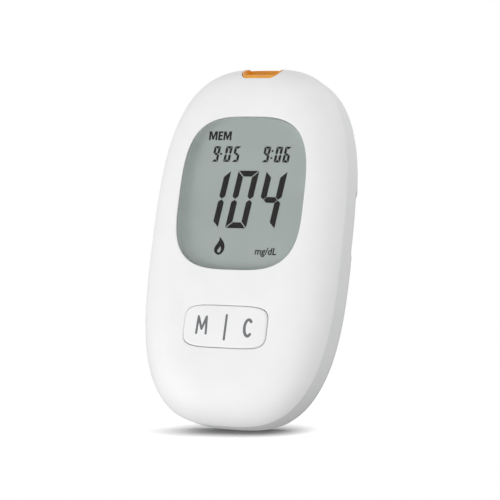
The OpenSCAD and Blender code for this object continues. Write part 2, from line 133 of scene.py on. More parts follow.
def body_ring(inset, z):
    half_l = BODY_L / 2 - inset
    return egg(BODY_W / 2 - inset, half_l, -half_l, 0, BODY_N, z)


def window_ring(grow, z):
    return egg(WIN_W / 2 + grow, WIN_TOP + grow, WIN_BOTTOM - grow, WIN_WIDE_Y, WIN_N, z)


def key_ring(grow, z):
    half_h = KEY_H / 2 + grow
    return egg(KEY_W / 2 + grow, KEY_Y + half_h, KEY_Y - half_h, KEY_Y, KEY_N, z)


def quarter(steps):
    """Cosine and sine at even steps over a quarter of a circle, for rounded edges."""
    angles = [math.pi / 2 * k / steps for k in range(steps + 1)]
    return [(math.cos(a), math.sin(a)) for a in angles]


print("body outline", len(body_ring(0, 0)), "points; window", WIN_W, "by",
      round(WIN_TOP - WIN_BOTTOM, 1), "mm")

# %% [markdown]
# ## Modelling helpers
# A moulded shape like this is drawn as a stack: a disc is added, then extruded again and
# again, and each new edge loop is pushed onto the next outline. A potter does the same
# with clay. Holes are cut with solid tools by the Boolean modifier, as a mill would.

# %% Stack, cut and finish
PAST = 1                           # how far a tool runs past the surface that it cuts
NEAR = 0.01                        # points closer than this count as level
ROD_SIDES = 64
SMOOTH_ANGLE = math.radians(28)
WELD = 0.002                       # points closer than this become one


def only(piece):
    """Makes this the one selected and active object, on which the next operator acts."""
    unselect()
    piece.select_set(True)
    bpy.context.view_layer.objects.active = piece


def stack(name, rings):
    """A closed solid from a disc that is extruded once for each further ring of points."""
    unselect()
    bpy.ops.mesh.primitive_circle_add(vertices=len(rings[0]), fill_type="NGON")
    piece = bpy.context.object
    piece.name = piece.data.name = name
    for v, p in zip(piece.data.vertices, rings[0]):
        v.co = p * MM
    bpy.ops.object.mode_set(mode="EDIT")
    for before, after in zip(rings, rings[1:]):
        near = KDTree(len(before))
        for i, p in enumerate(before):
            near.insert(p, i)
        near.balance()
        bpy.ops.mesh.extrude_region_move()
        mesh = bmesh.from_edit_mesh(piece.data)
        for v in mesh.verts:
            if v.select:
                v.co = after[near.find(v.co / MM)[1]] * MM
        bmesh.update_edit_mesh(piece.data)
    bpy.ops.mesh.select_all(action="SELECT")
    bpy.ops.mesh.normals_make_consistent(inside=False)
    bpy.ops.object.mode_set(mode="OBJECT")
    to_origin(piece)
    return piece


def to_origin(piece):
    """Puts the object's origin at the frame's origin and keeps its place in its mesh."""
    only(piece)
    bpy.ops.object.transform_apply(location=True, rotation=True, scale=True)


def slab(name, points, z0, z1):
    """A flat plate from an outline of (x, y) points."""
    return stack(name, [[Vector((x, y, z)) for x, y in points] for z in (z0, z1)])


def box(name, x0, x1, y0, y1, z0, z1):
    """A block between two corners, to be shaped further or used as a tool."""
    unselect()
    bpy.ops.mesh.primitive_cube_add(
        size=1, location=Vector(((x0 + x1) / 2, (y0 + y1) / 2, (z0 + z1) / 2)) * MM,
        scale=Vector((x1 - x0, y1 - y0, z1 - z0)) * MM)
    piece = bpy.context.object
    piece.name = piece.data.name = name
    to_origin(piece)
    return piece


def rod(name, x, y, z0, z1, r):
    """A round tool that stands upright."""
    unselect()
    bpy.ops.mesh.primitive_cylinder_add(
        vertices=ROD_SIDES, radius=r * MM, depth=(z1 - z0) * MM,
        location=Vector((x, y, (z0 + z1) / 2)) * MM)
    piece = bpy.context.object
    piece.name = piece.data.name = name
    to_origin(piece)
    return piece


def cut(piece, tool, how="DIFFERENCE"):
    """One Boolean step, applied, after which the tool is gone."""
    only(piece)
    step = piece.modifiers.new("step", "BOOLEAN")
    step.operation, step.solver, step.object = how, "EXACT", tool
    bpy.ops.object.modifier_apply(modifier=step.name)
    bpy.data.objects.remove(tool)
    return piece


def join(name, pieces):
    """Several pieces as one."""
    only(pieces[0])
    for p in pieces:
        p.select_set(True)
    bpy.ops.object.join()
    pieces[0].name = pieces[0].data.name = name
    return pieces[0]


def edit(piece, kind):
    """Edit mode on one piece, where edges or faces can be picked."""
    only(piece)
    bpy.ops.object.mode_set(mode="EDIT")
    bpy.ops.mesh.select_mode(type=kind)
    return bmesh.from_edit_mesh(piece.data)


def round_edges(piece, test, width, segments=3):
    """Rounds the edges whose two ends, in millimetres, pass the test."""
    for e in edit(piece, "EDGE").edges:
        e.select_set(test(*(v.co / MM for v in e.verts)))
    bmesh.update_edit_mesh(piece.data)
    bpy.ops.mesh.bevel(offset=width * MM, segments=segments, affect="EDGES")
    bpy.ops.object.mode_set(mode="OBJECT")
    return piece


def node_copy(name):
    """A copy of a CAD node whose loose triangles are joined into one skin."""
    piece = bpy.data.objects.new(name + "_core", nodes[name].data.copy())
    bpy.context.scene.collection.objects.link(piece)
    piece.data.materials.clear()
    only(piece)
    bpy.ops.object.mode_set(mode="EDIT")
    bpy.ops.mesh.select_all(action="SELECT")
    bpy.ops.mesh.remove_doubles(threshold=MM / 1000)
    bpy.ops.object.mode_set(mode="OBJECT")
    return piece


def number_by_place(piece):
    """Numbers points, edges and faces by place, for Boolean steps number them anew."""
    mesh = bmesh.from_edit_mesh(piece.data)
    for items, place in ((mesh.verts, lambda v: tuple(v.co)),
                         (mesh.edges, lambda e: sorted(v.index for v in e.verts)),
                         (mesh.faces, lambda f: sorted(v.index for v in f.verts))):
        rank = {item: i for i, item in enumerate(sorted(items, key=place))}
        items.sort(key=rank.get)
        items.index_update()
    bmesh.update_edit_mesh(piece.data)


def finish(piece, name, body, node=None):
    """Cleans and shades a piece, names it, hangs it on the body it rides on and hides the node
    it stands for.
    """
    piece.name = piece.data.name = name
    only(piece)
    bpy.ops.object.mode_set(mode="EDIT")
    number_by_place(piece)
    bpy.ops.mesh.select_all(action="SELECT")
    bpy.ops.mesh.remove_doubles(threshold=WELD * MM)
    bpy.ops.mesh.dissolve_degenerate(threshold=WELD * MM)
    bpy.ops.object.mode_set(mode="OBJECT")
    bpy.ops.object.shade_smooth_by_angle(angle=SMOOTH_ANGLE)
    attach(piece, body)
    if node:
        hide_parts(node)
    size = [round(s / MM, 1) for s in piece.dimensions]
    print(name, "on", body, "faces", len(piece.data.polygons), "size", size)


# %% [markdown]
# ## The body's skin
# Both covers follow one curve. From the back it rounds up over 4.7 mm, runs straight to
# the split line, then leans in and rolls over to the face in a curve given by four
# points. A skin is the solid inside this curve less the same solid a little smaller.

# %% Skin of the body
BACK_STEPS, FACE_STEPS = 14, 26
BACK_W, BACK_H = 3.6, 4.7
FACE_CURVE = ((0, 0), (1.2, 3.5), (4.5, FACE_H - 0.2), (11, FACE_H))
CORE_INSET, SKIN_T = 0.3, 0.6      # the plain core starts inside the new skin


def back_rings(inset, lift):
    return [body_ring(inset + BACK_W * (1 - s), lift + (BACK_H - lift) * (1 - c))
            for c, s in quarter(BACK_STEPS)]


def face_rings(inset, drop):
    rings = []
    for k in range(FACE_STEPS + 1):
        t = k / FACE_STEPS
        weights = ((1 - t) ** 3, 3 * t * (1 - t) ** 2, 3 * t * t * (1 - t), t ** 3)
        x, h = (sum(w * p[i] for w, p in zip(weights, FACE_CURVE)) for i in (0, 1))
        rings.append(body_ring(inset + x, SPLIT_Z + h * (FACE_H - drop) / FACE_H))
    return rings


def reskin(node, outer, inner, core):
    """A smooth skin, outer less inner, joined to the part of a CAD node inside core."""
    piece = cut(outer, inner)
    return cut(piece, cut(node_copy(node), core, "INTERSECT"), "UNION")


print("rings from back to face", BACK_STEPS + FACE_STEPS + 2)

# %% [markdown]
# ## Front cover
# The window and the key show through two openings with slightly rounded edges, as every
# moulded edge has. The tools that cut them flare at the top, which leaves that rounding.

# %% Front cover
EDGE_R, EDGE_STEPS = 0.28, 6       # rounding of the openings' edges
KEY_GAP = 0.13                     # less than the CAD's, for a line as fine as the real one
SLACK = 0.01                       # a tool stands this much outside the CAD's own cut
PORT_W, PORT_UP, PORT_DOWN, PORT_ROUND = 11.2, 4.6, 2.3, 2.4
PORT_Y = (40, 50)                  # from inside the wall to beyond the top end
ROUND_STEPS = 10
PLAY = 0.15                        # between the port's nose and its opening


def flared(name, ring, grow, z0):
    """A tool for an opening in the face: straight below, flared at the surface."""
    flare = [ring(grow + EDGE_R * (1 - c), FACE_Z - EDGE_R * (1 - s))
             for c, s in quarter(EDGE_STEPS)]
    return stack(name, [ring(grow, z0)] + flare + [ring(grow + EDGE_R, FACE_Z + PAST)])


def port_bar(name, slack, y0, y1):
    """The port's section, square below and rounded at its two upper corners."""
    half_w, top = PORT_W / 2 + slack, SPLIT_Z + PORT_UP + slack
    bar = box(name, -half_w, half_w, y0, y1, SPLIT_Z - PORT_DOWN - slack, top)
    return round_edges(bar, lambda p, q: min(p.z, q.z) > top - NEAR
                       and abs(p.x - q.x) < NEAR, PORT_ROUND, ROUND_STEPS)


front = reskin("front_cover",
               stack("outer", face_rings(0, 0)),
               stack("inner", [body_ring(SKIN_T, SPLIT_Z - 2)] + face_rings(SKIN_T, SKIN_T)),
               stack("core", [body_ring(CORE_INSET, SPLIT_Z - 2)]
                     + face_rings(CORE_INSET, CORE_INSET)))
cut(front, flared("window_tool", window_ring, SLACK, SPLIT_Z + 3))
cut(front, flared("key_tool", key_ring, KEY_GAP, SKIN_Z - 0.5))
cut(front, port_bar("port_tool", SLACK, *PORT_Y))
finish(front, "cover_front", "housing", "front_cover")

# %% [markdown]
# ## Rear cover
# From behind, the meter shows the battery door's runway, four sunk screws and a shallow
# finger recess in each flank. The recess is a slot that stops a third of a millimetre
# below the surface, so its tool is a slot with the middle of the body cut out of it.

# %% Rear cover
DOOR_W, DOOR_TOP, DOOR_T, DOOR_GAP = 28, -11, 1.6, 0.2
RAIL_W, RAIL_T = 0.9, 0.7
FLOOR_Z = DOOR_T + DOOR_GAP
SCREWS = ((-18.2, -27), (18.2, -27), (-13.5, 37.5), (13.5, 37.5))
HEAD_HOLE_R, SINK = 2.15, 2.3
GRIP_Y, GRIP_L, GRIP_H, GRIP_DEEP = 7.8, 17.5, 3.7, 0.35
GRIP_X = (20, 31.5)                # from inside the flank to beyond it
FAR = 60                           # beyond the meter's ends


def grip_tool(side):
    """A lying slot in one flank, hollowed so that it cuts only to its depth."""
    x0, x1 = sorted(side * x for x in GRIP_X)
    z0 = BACK_H - GRIP_H
    slot = box("grip_tool", x0, x1, GRIP_Y - GRIP_L / 2, GRIP_Y + GRIP_L / 2, z0, BACK_H)
    round_edges(slot, lambda p, q: abs(p.y - q.y) < NEAR and abs(p.z - q.z) < NEAR,
                GRIP_H / 2 - NEAR, ROUND_STEPS)
    return cut(slot, stack("grip_floor", back_rings(GRIP_DEEP, 0)
                           + [body_ring(GRIP_DEEP, SPLIT_Z)]))


rear = reskin("rear_cover",
              stack("outer", back_rings(0, 0) + [body_ring(0, SPLIT_Z)]),
              stack("inner", back_rings(SKIN_T, SKIN_T) + [body_ring(SKIN_T, SPLIT_Z + 2)]),
              stack("core", back_rings(CORE_INSET, CORE_INSET)
                    + [body_ring(CORE_INSET, SPLIT_Z + 2)]))
runway, runway_end = DOOR_W / 2 + DOOR_GAP + SLACK, DOOR_TOP + DOOR_GAP + SLACK
cut(rear, box("door_tool", -runway, runway, -FAR, runway_end, -PAST, FLOOR_Z))
runway += RAIL_W
cut(rear, box("rail_tool", -runway, runway, -FAR, runway_end,
              DOOR_T - RAIL_T - DOOR_GAP / 2, FLOOR_Z))
for x, y in SCREWS:
    cut(rear, rod("screw_tool", x, y, -PAST, SINK, HEAD_HOLE_R + SLACK))
cut(rear, port_bar("port_tool", SLACK, *PORT_Y))
for side in (-1, 1):
    cut(rear, grip_tool(side))
finish(rear, "cover_rear", "housing", "rear_cover")

# %% [markdown]
# ## Battery door
# The door is a slice of the rear cover's own skin. It rounds up with the lower end, has
# a tongue along each side and five grooves for the thumb that pushes it off.

# %% Battery door
RAIL_END = -43
GROOVES, GROOVE_W, GROOVE_DEEP, GROOVE_R = 5, 0.7, 0.4, 0.3
GROOVE_IN, GROOVE_PITCH = 4, 1.4   # first groove below the door's top, and the next ones
GROOVE_REACH, GROOVE_TAPER = 6, 0.6
door = cut(box("door", -DOOR_W / 2, DOOR_W / 2, -FAR, DOOR_TOP, -PAST, DOOR_T),
           stack("outer", back_rings(0, 0) + [body_ring(0, SPLIT_Z)]), "INTERSECT")
tongue = DOOR_W / 2 + RAIL_W
cut(door, box("tongues", -tongue, tongue, RAIL_END, DOOR_TOP, DOOR_T - RAIL_T, DOOR_T),
    "UNION")
for i in range(GROOVES):
    half_w, y = GROOVE_REACH - GROOVE_TAPER * i, DOOR_TOP - GROOVE_IN - GROOVE_PITCH * i
    groove = box("groove", -half_w, half_w, y, y + GROOVE_W, -PAST, GROOVE_DEEP)
    round_edges(groove, lambda p, q: min(p.z, q.z) > GROOVE_DEEP - NEAR
                and abs(p.y - q.y) < NEAR, GROOVE_R)
    cut(door, groove)
finish(door, "door_battery", "door", "battery_door")

# %% [markdown]
# ## Key
# One white cap rocks to the left and to the right. Its edge is rounded, and it stands a
# little proud of the face. Below the face it keeps the CAD model's flange and pins. The
# cap ends a hair lower than the CAD's, which leaves room for the ink of the legends.

# %% Key cap
KEY_TOP, INK_TOP = 17.28, 17.3
KEY_R, KEY_STEPS = 0.45, 8
WAIST_Z = 15.0                     # above the flange, below the face
LAP = 0.05                         # how far the upper and the lower part overlap
crown = [key_ring(-KEY_R * (1 - c), KEY_TOP - KEY_R * (1 - s)) for c, s in quarter(KEY_STEPS)]
cap = stack("cap", [key_ring(0, WAIST_Z)] + crown)
cut(cap, stack("inner", [key_ring(-SKIN_T, WAIST_Z - PAST),
                         key_ring(-SKIN_T, KEY_TOP - SKIN_T)]))
core = stack("core", [key_ring(-CORE_INSET, WAIST_Z - LAP),
                      key_ring(-CORE_INSET, KEY_TOP - CORE_INSET)])
upper = cut(node_copy("key_cap"), core, "INTERSECT")
lower = cut(node_copy("key_cap"), box("low", -FAR, FAR, -FAR, FAR, 0, WAIST_Z), "INTERSECT")
cut(cap, upper, "UNION")
cut(cap, lower, "UNION")
finish(cap, "key_rocker", "key", "key_cap")

# %% [markdown]
# ## Strip port
# The orange insert fills the notch in the top end and is flush with both covers, so it
# is the body itself, cut to the notch's section. Its mouth narrows to the strip's slot.
# The upper lip is scooped back, so that from the face one looks down on the mouth's
# floor. The mouth's tool starts as a block whose inner end is then shrunk to the slot.

# %% Strip port
SLOT_W, SLOT_H, SLOT_Z = 7.4, 0.9, 10.9
MOUTH_FLARE, MOUTH_LOW, MOUTH_RISE, MOUTH_DEEP, MOUTH_STRAIGHT = 1.2, 1.7, 4.35, 4, 2
NOSE_Y, NOSE_LAP = 43.5, 0.3       # the nose's inner end, and its overlap with the rest
end_y = BODY_L / 2
nose = cut(port_bar("nose", -PLAY, NOSE_Y, PORT_Y[1]),
           stack("outer", back_rings(0, 0) + face_rings(0, 0)), "INTERSECT")
cut(nose, cut(node_copy("strip_port"), box("back", -FAR, FAR, 0, NOSE_Y + NOSE_LAP, 0, FAR),
              "INTERSECT"), "UNION")
low, high = SLOT_Z - MOUTH_LOW, SLOT_Z + MOUTH_RISE
wide = SLOT_W / 2 + MOUTH_FLARE
inner_y, turn_y = end_y - MOUTH_DEEP, end_y - MOUTH_STRAIGHT
mouth = box("mouth", -wide, wide, turn_y, end_y + PAST, low, high)
for f in edit(mouth, "FACE").faces:
    f.select_set(f.normal.y < -0.9)
bmesh.update_edit_mesh(mouth.data)
bpy.ops.mesh.extrude_region_move(
    TRANSFORM_OT_translate={"value": Vector((0, inner_y - turn_y, 0)) * MM})
shrink = (SLOT_W / 2 / wide, 1, SLOT_H / (high - low))
still_z = (SLOT_Z - (low + high) / 2 * shrink[2]) / (1 - shrink[2])
bpy.ops.transform.resize(value=shrink, center_override=Vector((0, inner_y, still_z)) * MM)
bpy.ops.object.mode_set(mode="OBJECT")
cut(nose, mouth)
cut(nose, box("slot", -SLOT_W / 2, SLOT_W / 2, *PORT_Y, SLOT_Z - SLOT_H / 2,
              SLOT_Z + SLOT_H / 2))
finish(nose, "port_strip", "housing", "strip_port")

# %% [markdown]
# ## Window
# The window is a thick clear plug with a thinner rim that is taped under the face. Its
# upper edge is polished round. The rim is a stack of its own round the plug, so that
# the plug's side is one whole wall from the display up to the face.

# %% Window
LENS_LOW, RIM_W, RIM_T, LENS_TOP = 14.4, 1.3, 0.8, 16.65
PLUG_LOW = 14.27                   # just over the display's marks
LENS_GAP, LENS_R, LENS_STEPS = 0.1, 0.15, 4
profile = [(-LENS_GAP, PLUG_LOW)] + [
    (-LENS_GAP - LENS_R * (1 - c), LENS_TOP - LENS_R * (1 - s))
    for c, s in quarter(LENS_STEPS)]
plug = stack("plug", [window_ring(g, z) for g, z in profile])
rim = stack("rim", [window_ring(RIM_W, z) for z in (LENS_LOW, LENS_LOW + RIM_T)])
cut(rim, stack("rim_tool", [window_ring(SLACK - LENS_GAP, z)
                            for z in (LENS_LOW - PAST, LENS_TOP)]))
lens = join("window", [plug, rim])
finish(lens, "window_plate", "housing", "display_lens")

# %% [markdown]
# ## Display segments
# A display of this kind shows bars that turn dark. Each bar is a thin plate on the
# glass with mitred or pointed ends, so that neighbours leave an even gap. One function
# gives a digit's seven bars, and each digit picks its own.

# %% Seven-segment digits
GLASS_Z, BAR_T = 14.2, 0.05
MARK_Z = (GLASS_Z - 0.01, GLASS_Z + BAR_T)
DIGITS = {"0": "abcdef", "1": "bc", "4": "bcfg", "5": "acdfg", "6": "acdefg", "9": "abcdfg"}


def bars(w, h, tx, ty, gap):
    """Corners of the seven bars of a digit, from its lower left corner."""
    m, d = h / 2, ty / 2
    left_up = [(0, h - gap), (0, m + d), (tx / 2, m + gap / 2), (tx, m + d), (tx, h - ty - gap)]
    top = [(gap, h), (w - gap, h), (w - tx - gap, h - ty), (tx + gap, h - ty)]
    mid = [(tx / 2 + gap, m), (tx + gap, m + d), (w - tx - gap, m + d), (w - tx / 2 - gap, m),
           (w - tx - gap, m - d), (tx + gap, m - d)]

    def mirror(points):
        return [(w - x, y) for x, y in points]

    def flip(points):
        return [(x, h - y) for x, y in points]

    return {"a": top, "b": mirror(left_up), "c": mirror(flip(left_up)), "d": flip(top),
            "e": flip(left_up), "f": left_up, "g": mid}


def digit(sign, x, y, w, h, tx, ty, gap, slant):
    """A digit of bars tx and ty thick, whose lower left corner is at x, y."""
    shapes = bars(w, h, tx, ty, gap)
    plates = []
    for letter in DIGITS[sign]:
        points = [(x + px + slant * py, y + py) for px, py in shapes[letter]]
        plates.append(slab("bar", points, *MARK_Z))
    return join("digit_" + sign, plates)


BIG = dict(y=3.75, w=6.0, h=15.5, tx=1.68, ty=1.56, gap=0.2, slant=0.13)
SMALL = dict(y=21.6, w=1.85, h=4.25, tx=0.66, ty=0.64, gap=0.1, slant=0.12)
VALUE = (("1", -12.9), ("0", -4.72), ("4", 3.43))
reading = join("reading", [digit(s, x, **BIG) for s, x in VALUE])
date = [digit(s, x, **SMALL) for s, x in (("9", -11.05), ("0", -7.6), ("5", -5.1))]
time = [digit(s, x, **SMALL) for s, x in (("9", 3.6), ("0", 7.05), ("6", 9.5))]
DOTS = ((-8.47, 23.75, 0.3), (6.42, 24.65, 0.25), (6.32, 22.75, 0.25))
DOT_H = 0.24                       # half a dot's height; the third number is half its width
dots = [box("dot", x - w, x + w, y - DOT_H, y + DOT_H, *MARK_Z) for x, y, w in DOTS]
print("digits", len(date) + len(time) + len(VALUE), "dots", len(dots))

# %% [markdown]
# ## Words on the display
# The display also names what it shows: a remembered value and its unit. The bold
# letters are drawn point by point. The thin unit is typed as text, fattened a little,
# turned into mesh and fitted to its place.

# %% Bold letters on the display
LETTER_M = [(0, 0), (0, 1), (0.3, 1), (0.5, 0.4), (0.7, 1), (1, 1), (1, 0), (0.79, 0),
            (0.79, 0.68), (0.57, 0.05), (0.43, 0.05), (0.21, 0.68), (0.21, 0)]
LETTER_E = [(0, 0), (0, 1), (1, 1), (1, 0.81), (0.4, 0.81), (0.4, 0.6), (0.93, 0.6),
            (0.93, 0.42), (0.4, 0.42), (0.4, 0.19), (1, 0.19), (1, 0)]


def letter(shape, x, w, y=27.5, h=2.4):
    return slab("letter", [(x + w * px, y + h * py) for px, py in shape],
                *MARK_Z)


mem = join("word_mem", [letter(LETTER_M, -12.55, 2.4), letter(LETTER_E, -9.85, 1.3),
                        letter(LETTER_M, -8.3, 2.3)])
print("bold letters", len(mem.data.vertices), "points")

# %% Thin letters on the display
LETTER_STEPS = 3                   # points on each curve of a letter 2.5 mm high


def word(name, text, x0, x1, y0, y1, z0, z1, shear=0.0, weight=0.0):
    """Text as a thin plate that fills a rectangle."""
    unselect()
    bpy.ops.object.text_add()
    piece = bpy.context.object
    piece.data.body = text
    piece.data.shear = shear
    piece.data.extrude = 0.1
    piece.data.offset = weight
    piece.data.resolution_u = LETTER_STEPS
    bpy.ops.object.convert(target="MESH")
    piece = bpy.context.object
    piece.name = piece.data.name = name
    low = Vector([min(v.co[i] for v in piece.data.vertices) for i in range(3)])
    high = Vector([max(v.co[i] for v in piece.data.vertices) for i in range(3)])
    goal_low, goal_high = Vector((x0, y0, z0)), Vector((x1, y1, z1))
    for v in piece.data.vertices:
        share = [(v.co[i] - low[i]) / (high[i] - low[i]) for i in range(3)]
        v.co = Vector([goal_low[i] + share[i] * (goal_high[i] - goal_low[i])
                       for i in range(3)]) * MM
    return piece


unit = word("word_unit", "mg/dL", 4.65, 10.8, -3.75, -1.25, *MARK_Z, shear=0.12,
            weight=0.014)
print("unit", len(unit.data.vertices), "points")

# %% [markdown]
# ## The drop
# A drop of blood asks for a sample. It leans, and a smaller drop is left open in it. A
# smooth curve through a few points gives both, and one is cut from the other.

# %% Drop on the display


def rounded(points, steps=6):
    """A smooth closed curve through points."""
    out = []
    n = len(points)
    for i in range(n):
        p = [Vector(points[(i + k) % n]) for k in (-1, 0, 1, 2)]
        for s in range(steps):
            t = s / steps
            out.append(tuple(0.5 * (2 * p[1] + (p[2] - p[0]) * t
                                    + (2 * p[0] - 5 * p[1] + 4 * p[2] - p[3]) * t * t
                                    + (3 * p[1] - p[0] - 3 * p[2] + p[3]) * t ** 3)))
    return out


DROP = [(-5.88, 1.3), (-5.95, 0.69), (-6.09, 0.15), (-6.46, -0.55), (-6.87, -1.13),
        (-7.13, -1.76), (-7.12, -2.39), (-6.8, -2.96), (-6.24, -3.35), (-5.62, -3.48),
        (-5.04, -3.2), (-4.62, -2.74), (-4.34, -2.13), (-4.25, -1.46), (-4.36, -0.75),
        (-4.71, 0.0), (-5.28, 0.66)]
HOLE = [(-5.5, -1.2), (-5.8, -1.72), (-6.1, -2.14), (-6.24, -2.52), (-6.03, -2.82),
        (-5.69, -2.9), (-5.4, -2.65), (-5.22, -2.2), (-5.25, -1.65)]
drop = slab("drop", rounded(DROP), *MARK_Z)
cut(drop, slab("hole", rounded(HOLE), GLASS_Z - PAST, GLASS_Z + PAST))
segments = join("lcd_marks", [reading, *date, *time, *dots, mem, unit, drop])
finish(segments, "display_marks", "housing")

# %% [markdown]
# ## Legends on the key
# Each end of the key has its letter, and a bar parts the two. They are printed in grey
# with round stroke ends. Plates laid over each other would cross, so one function walks
# down one side of a stroke and back up the other, and makes a single outline of it.

# %% Legends
STROKE, STROKE_C = 0.62, 0.76      # widths of the straight strokes and of the round one
INK_LOW = KEY_TOP - 0.05


def stroke(name, points, width=STROKE, steps=8):
    """A plate along a line from point to point, with round ends and outer corners."""
    line, out = [Vector(p) for p in points], []
    for way in (line, line[::-1]):
        heads = [math.atan2(q.y - p.y, q.x - p.x) for p, q in zip(way, way[1:])]
        turns = [(b - a + math.pi) % math.tau - math.pi for a, b in zip(heads, heads[1:])]
        for p, head, turn in zip(way[1:], heads, turns + [-math.pi]):
            if turn > 0:
                reach, shares = width / 2 / math.cos(turn / 2), [0.5]
            else:
                count = max(1, round(-steps * turn / math.pi))
                reach, shares = width / 2, [k / count for k in range(count + 1)]
            for a in (head + math.pi / 2 + turn * t for t in shares):
                out.append((p.x + reach * math.cos(a), p.y + reach * math.sin(a)))
    return slab(name, out, INK_LOW, INK_TOP)


letter_m = stroke("letter_m", [(-7.96, -24.95), (-7.75, -20.55), (-6.56, -23.8),
                               (-5.42, -20.55), (-5.2, -24.95)])
parting = stroke("parting", [(0.27, -19.95), (0.18, -26.3)])
arc = [math.radians(a) for a in range(50, 311, 10)]
letter_c = stroke("letter_c", [(6.72 + 1.06 * math.cos(a), -23.05 + 2.14 * math.sin(a))
                               for a in arc], STROKE_C)
legends = join("legends", [letter_m, parting, letter_c])
finish(legends, "key_legends", "key")

# %% [markdown]
# ## Finishes
# Most finishes start from a Principled shader. One helper adds a node with its settings
# and links, and one function turns a colour as it is picked on screen into a linear one.

# %% Material helpers


def linear(code):
    """Linear colour of an sRGB hex value."""
    out = []
    for i in (0, 2, 4):
        c = int(code[i:i + 2], 16) / 255
        out.append(c / 12.92 if c <= 0.04045 else ((c + 0.055) / 1.055) ** 2.4)
    return (*out, 1.0)


def add(tree, kind, inputs=None, **settings):
    """A node with its settings, its input values and its links."""
    made = tree.nodes.new(kind)
    for key, value in settings.items():
        setattr(made, key, value)
    for key, value in (inputs or {}).items():
        if isinstance(value, bpy.types.NodeSocket):
            tree.links.new(value, made.inputs[key])
        else:
            made.inputs[key].default_value = value
    return made


def blank(name):
    """An empty material, its tree and its output node."""
    mat = bpy.data.materials.new(name)
    mat.use_nodes = True
    mat.node_tree.nodes.clear()
    return mat, mat.node_tree, mat.node_tree.nodes.new("ShaderNodeOutputMaterial")


def surface(name, first, last, grain, rough=(0.4, 0.5), bump=0.004, patch=8.0, **shader):
    """Colour that drifts over patches, and a grain that roughens the surface; mm."""
    mat, tree, out = blank(name)
    place = add(tree, "ShaderNodeTexCoord").outputs["Object"]
    drift = add(tree, "ShaderNodeTexNoise",
                {"Vector": place, "Scale": 1 / (patch * MM), "Detail": 3.0}).outputs["Fac"]
    fine = add(tree, "ShaderNodeTexNoise",
               {"Vector": place, "Scale": 1 / (grain * MM), "Detail": 2.0}).outputs["Fac"]
    colour = add(tree, "ShaderNodeValToRGB", {"Fac": drift})
    for stop, at, code in zip(colour.color_ramp.elements, (0.35, 0.65), (first, last)):
        stop.position, stop.color = at, linear(code)
    gloss = add(tree, "ShaderNodeMapRange",
                {"Value": fine, "To Min": rough[0], "To Max": rough[1]})
    dents = add(tree, "ShaderNodeBump",
                {"Height": fine, "Strength": 0.5, "Distance": bump * MM})
    inputs = {"Base Color": colour.outputs["Color"], "Roughness": gloss.outputs["Result"],
              "Normal": dents.outputs["Normal"]}
    inputs.update({key.replace("_", " "): value for key, value in shader.items()})
    skin = add(tree, "ShaderNodeBsdfPrincipled", inputs)
    tree.links.new(skin.outputs["BSDF"], out.inputs["Surface"])
    return mat


def coat(piece, *mats):
    """Gives a piece these finishes and no other."""
    piece.data.materials.clear()
    for mat in mats:
        piece.data.materials.append(mat)


# %% [markdown]
# ## Plastics of the outside
# The covers are moulded in ABS against a tool that was spark-eroded to a fine satin. Its
# grain is about 0.3 mm and only softens the highlights. The rear cover is a shade
# cooler, because the two halves come from different tools. The key is a little
# glossier. The strip port is dyed through, and the legends are a matt ink.

# %% Outer plastics
abs_front = surface("abs_satin_front", "f2f2f3", "f4f4f4", 0.3, (0.42, 0.52), IOR=1.53)
abs_rear = surface("abs_satin_rear", "f1f2f3", "f4f4f5", 0.3, (0.42, 0.52), IOR=1.53)
abs_key = surface("abs_satin_key", "f2f2f3", "f5f5f5", 0.3, (0.36, 0.46), IOR=1.53)
abs_orange = surface("abs_gloss_orange", "ee9c12", "f4a71e", 0.4, (0.3, 0.4), IOR=1.53,
                     patch=3.0)
ink_grey = surface("pad_print_grey", "66686b", "707275", 0.15, (0.5, 0.6), 0.002, patch=1.5)
for piece, mat in ((front, abs_front), (rear, abs_rear), (door, abs_rear), (cap, abs_key),
                   (nose, abs_orange), (legends, ink_grey)):
    coat(piece, mat)
    print(piece.name, "in", mat.name)

# %% [markdown]
# ## Display and window
# The display reflects grey-green through its matt polariser. Its marks are dark brown.
# The window is clear acrylic: most light goes straight through and a little is
# reflected, more at grazing angles, and a coat against glare halves that. Seen from the
# face, the plate's side turns all light back like a mirror, so the display seems to
# reach to the window's edge. That side has a finish of its own.

# %% Display and window finishes
polariser = surface("polariser_grey_green", "b0b7b6", "b5bcbb", 0.08, (0.4, 0.5), 0.001,
                    patch=14.0, IOR=1.5, Specular_IOR_Level=0.2)
lcd_dark = surface("lcd_dark_segment", "0d0a09", "130f0e", 0.3, (0.45, 0.55), 0.001,
                   patch=2.0, Specular_IOR_Level=0.1)
lens_side = surface("acrylic_side_mirror", "f6f8f7", "fcfdfd", 0.5, (0.16, 0.26), 0.0005,
                    patch=4.0, Metallic=1.0)

SMEAR = 6                          # width of the faint smears that vary the gloss
acrylic, tree, out = blank("acrylic_clear")
place = add(tree, "ShaderNodeTexCoord").outputs["Object"]
smears = add(tree, "ShaderNodeTexNoise",
             {"Vector": place, "Scale": 1 / (SMEAR * MM), "Detail": 4.0})
gloss = add(tree, "ShaderNodeMapRange",
            {"Value": smears.outputs["Fac"], "To Min": 0.03, "To Max": 0.09})
clear = add(tree, "ShaderNodeBsdfTransparent", {"Color": linear("fbfcfb")})
shine = add(tree, "ShaderNodeBsdfGlossy",
            {"Color": (0.5, 0.5, 0.5, 1), "Roughness": gloss.outputs["Result"]})
angle = add(tree, "ShaderNodeFresnel", {"IOR": 1.49})
inside = add(tree, "ShaderNodeNewGeometry").outputs["Backfacing"]
front_only = add(tree, "ShaderNodeMath", {0: 1.0, 1: inside}, operation="SUBTRACT")
mirrored = add(tree, "ShaderNodeMath", {0: angle.outputs["Fac"], 1: front_only.outputs[0]},
               operation="MULTIPLY")
